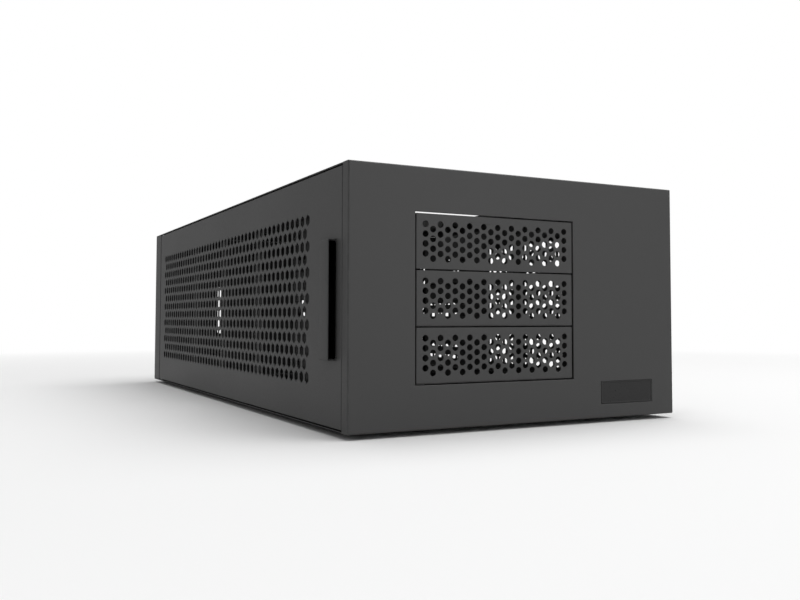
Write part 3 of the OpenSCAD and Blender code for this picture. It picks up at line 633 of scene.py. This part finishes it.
def make_slot_trims(node):
    """Rubber trims: a closed channel profile with soft lips, carried round each cable slot."""
    surfaces = []
    for low, high in solids_of(node):
        size, middle = high - low, (low + high) / 2
        lip, web, depth, sheet = 3.2 * MM, 2 * MM, size[1], 1.2 * MM
        side = (depth - sheet) / 2
        profile = fillet([(0.1 * MM, depth / 2), (0, 0.2 * MM), (0.4 * MM, 0),
                          (lip - 0.3 * MM, 0.1 * MM), (lip, side - 0.2 * MM),
                          (lip - 0.2 * MM, side), (web, side),
                          (web, side + sheet), (lip - 0.2 * MM, side + sheet),
                          (lip, side + sheet + 0.2 * MM), (lip - 0.3 * MM, depth - 0.1 * MM),
                          (0.4 * MM, depth), (0, depth - 0.2 * MM), (0.1 * MM, depth / 2)],
                         0.3 * MM, 2)
        corner = 2 * MM
        half_w, half_h = size[0] / 2 - lip, size[2] / 2 - lip
        sweep = frame_sweep(half_h, half_w, corner, profile[:-1], 7)
        surfaces.append(turn_to(sweep, "+y", (middle[0], low[1], middle[2])))
    install(solid(node + "_moulded", surfaces, wrapped=True), node)


def make_lock_knob(node):
    """Drive lock knob: a fluted disc with a hub and pin behind it, a rounded bar to turn it by, and a
    small round pip at the bar's end that shows its setting."""
    low, high = (np.array(corner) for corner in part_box(node))
    middle = (low + high) / 2
    radius, length = (high[2] - low[2]) / 2, high[0] - low[0]
    bar_t, disc_t, hub_r, pin_r, hub_t = 4 * MM, 2.9 * MM, 6 * MM, 3 * MM, 3 * MM
    face = length - bar_t
    profile = fillet([(0, 0), (pin_r - 0.4 * MM, 0), (pin_r, 0.4 * MM), (pin_r, face - disc_t - hub_t),
                      (hub_r, face - disc_t - hub_t), (hub_r, face - disc_t), (radius, face - disc_t),
                      (radius, face), (0.72 * radius, face), (0.66 * radius, face - 0.5 * MM),
                      (0, face - 0.5 * MM)], 0.35 * MM, 3)
    disc = turned(profile, 96, waves=24, depth=0.6 * MM)
    grip = fillet([(0, 0), (0.15 * MM, 0.7 * bar_t), (0.9 * MM, bar_t), (1.6 * MM, bar_t)],
                  0.8 * MM, 4)
    bar = tablet(radius - 1 * MM, 2.5 * MM, 2.3 * MM, grip + np.array([0, face - 0.6 * MM]), 6)
    bar[..., 2] = np.minimum(bar[..., 2], length)
    pip = turned(fillet([(0.9 * MM, face - 0.6 * MM), (0.9 * MM, face + 0.2 * MM), (0, face + 0.3 * MM)],
                        0.2 * MM, 2), 20)
    surfaces = [turn_to(disc, "-x", (high[0], middle[1], middle[2])),
                turn_to(bar[:, :, [1, 0, 2]], "-x", (high[0], middle[1], middle[2])),
                turn_to(pip, "-x", (high[0], middle[1], middle[2] + 0.72 * radius))]
    install(solid(node + "_moulded", surfaces), node)


def make_small_parts():
    make_screws("fan_bracket_screws", 2.2 * MM, 1.5 * MM, away_from("fan_bracket_screws", "x"))
    make_screws("cage_screws", 2.2 * MM, 1.6 * MM, away_from("cage_screws", "x"))
    make_screws("rear_panel_screws", 2.2 * MM, 1.5 * MM, lambda low, high: "+y")
    make_screws("foot_screws", 1.4 * MM, 2 * MM, lambda low, high: "-z")
    make_rivets("top_panel_rivets")
    make_feet("feet")
    make_panel_clips("front_panel_clips")
    make_badge("badge_plate")
    make_slot_trims("rear_slot_trims")
    for side in ("left", "right"):
        make_hinge_pins("hinge_pins_" + side)
        make_magnets("door_magnets_" + side)
    for n in (1, 2, 3):
        make_lock_knob("drive_lock_knob_%d" % n)


# Studio

def make_floor():
    """Pale floor that turns to plain white away from the object, for the camera only. It throws less
    light back at the object than the camera sees."""
    size, near, far = 8.0, 0.6, 1.6
    mesh = bpy.data.meshes.new("studio_floor")
    mesh.from_pydata([(-size, -size, 0), (size, -size, 0), (size, size, 0), (-size, size, 0)], [],
                     [(0, 1, 2, 3)])
    floor = bpy.data.objects.new("studio_floor", mesh)
    SCENE.collection.objects.link(floor)
    material = bpy.data.materials.new("studio_floor")
    material.use_nodes = True
    material.node_tree.nodes.clear()
    net = Net(material.node_tree)
    place = net.add("ShaderNodeTexCoord").outputs["Object"]
    reach = net.add("ShaderNodeVectorMath", {0: place}, operation="LENGTH").outputs["Value"]
    fade = net.spread(reach, near, far)
    seen = net.add("ShaderNodeLightPath").outputs["Is Camera Ray"]
    pale = net.blend(seen, grey(0.55), grey(0.88))
    matte = net.add("ShaderNodeBsdfPrincipled", {"Base Color": pale, "Roughness": 0.9})
    glow = net.add("ShaderNodeEmission", {"Color": grey(1.0), "Strength": 1.0})
    mix = net.add("ShaderNodeMixShader", {0: net.math("MULTIPLY", fade, seen)})
    net.tree.links.new(matte.outputs[0], mix.inputs[1])
    net.tree.links.new(glow.outputs[0], mix.inputs[2])
    net.add("ShaderNodeOutputMaterial", {"Surface": mix.outputs[0]})
    mesh.materials.append(material)


def make_world(ambient, shine):
    """White to the camera, a soft even light of the given strength on surfaces, and its own strength
    in reflections."""
    world = bpy.data.worlds.new("studio_world")
    SCENE.world = world
    world.use_nodes = True
    world.node_tree.nodes.clear()
    net = Net(world.node_tree)
    path = net.add("ShaderNodeLightPath")
    shown = net.math("MAXIMUM", path.outputs["Is Camera Ray"], path.outputs["Is Transmission Ray"])
    unseen = net.spread(path.outputs["Is Glossy Ray"], 0.0, 1.0, ambient, shine)
    strength = net.spread(shown, 0.0, 1.0, unseen, 1.0)
    sky = net.add("ShaderNodeBackground", {"Color": grey(1.0), "Strength": strength})
    net.add("ShaderNodeOutputWorld", {"Surface": sky.outputs[0]})


def make_light(name, place, target, size, power):
    lamp = bpy.data.lights.new(name, "AREA")
    lamp.shape = "SQUARE"
    lamp.size = size
    lamp.energy = power
    holder = bpy.data.objects.new(name, lamp)
    SCENE.collection.objects.link(holder)
    way = np.array(target, float) - np.array(place, float)
    tilt, turn = math.atan2(math.hypot(way[0], way[1]), -way[2]), math.atan2(-way[0], way[1])
    holder.location = place
    holder.rotation_euler = (tilt, 0, turn)


def make_camera():
    """Camera of the photograph, found from the six outer corners of the chassis in the picture."""
    yaw, pitch = math.radians(29.0), math.radians(2.79)
    focal_px, axis_px, frame_px = 877.1, (438.5, 275.8), (800, 600)
    from_corner, height = (-0.247, -0.579), 0.087
    data = bpy.data.cameras.new("photo_camera")
    data.sensor_width = 36.0
    data.lens = focal_px / frame_px[0] * data.sensor_width
    data.shift_x = (frame_px[0] / 2 - axis_px[0]) / frame_px[0]
    data.shift_y = (axis_px[1] - frame_px[1] / 2) / frame_px[0]
    data.clip_start = 0.01
    camera = bpy.data.objects.new("photo_camera", data)
    SCENE.collection.objects.link(camera)
    front_left = (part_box("top_panel")[0][0], cad_box[0][1])
    camera.location = (front_left[0] + from_corner[0], front_left[1] + from_corner[1], height)
    camera.rotation_euler = (math.pi / 2 + pitch, 0, -yaw)
    SCENE.camera = camera


def main():
    make_camera()
    for node, values in SHEETS.items():
        soften(node, **values)
    make_small_parts()
    make_floor()
    make_world(ambient=0.32, shine=0.4)
    make_light("overhead_softbox", place=(0.5, -0.2, 2.4), target=(0, 0, 0), size=2.6, power=62)
    make_light("left_softbox", place=(-2.3, 1.1, 1.0), target=(-0.1, 0.1, 0.1), size=1.8, power=4)
    make_light("front_softbox", place=(1.0, -2.4, 0.8), target=(0, -0.3, 0.1), size=1.6, power=10)
    SCENE.view_settings.view_transform = "Standard"


main()
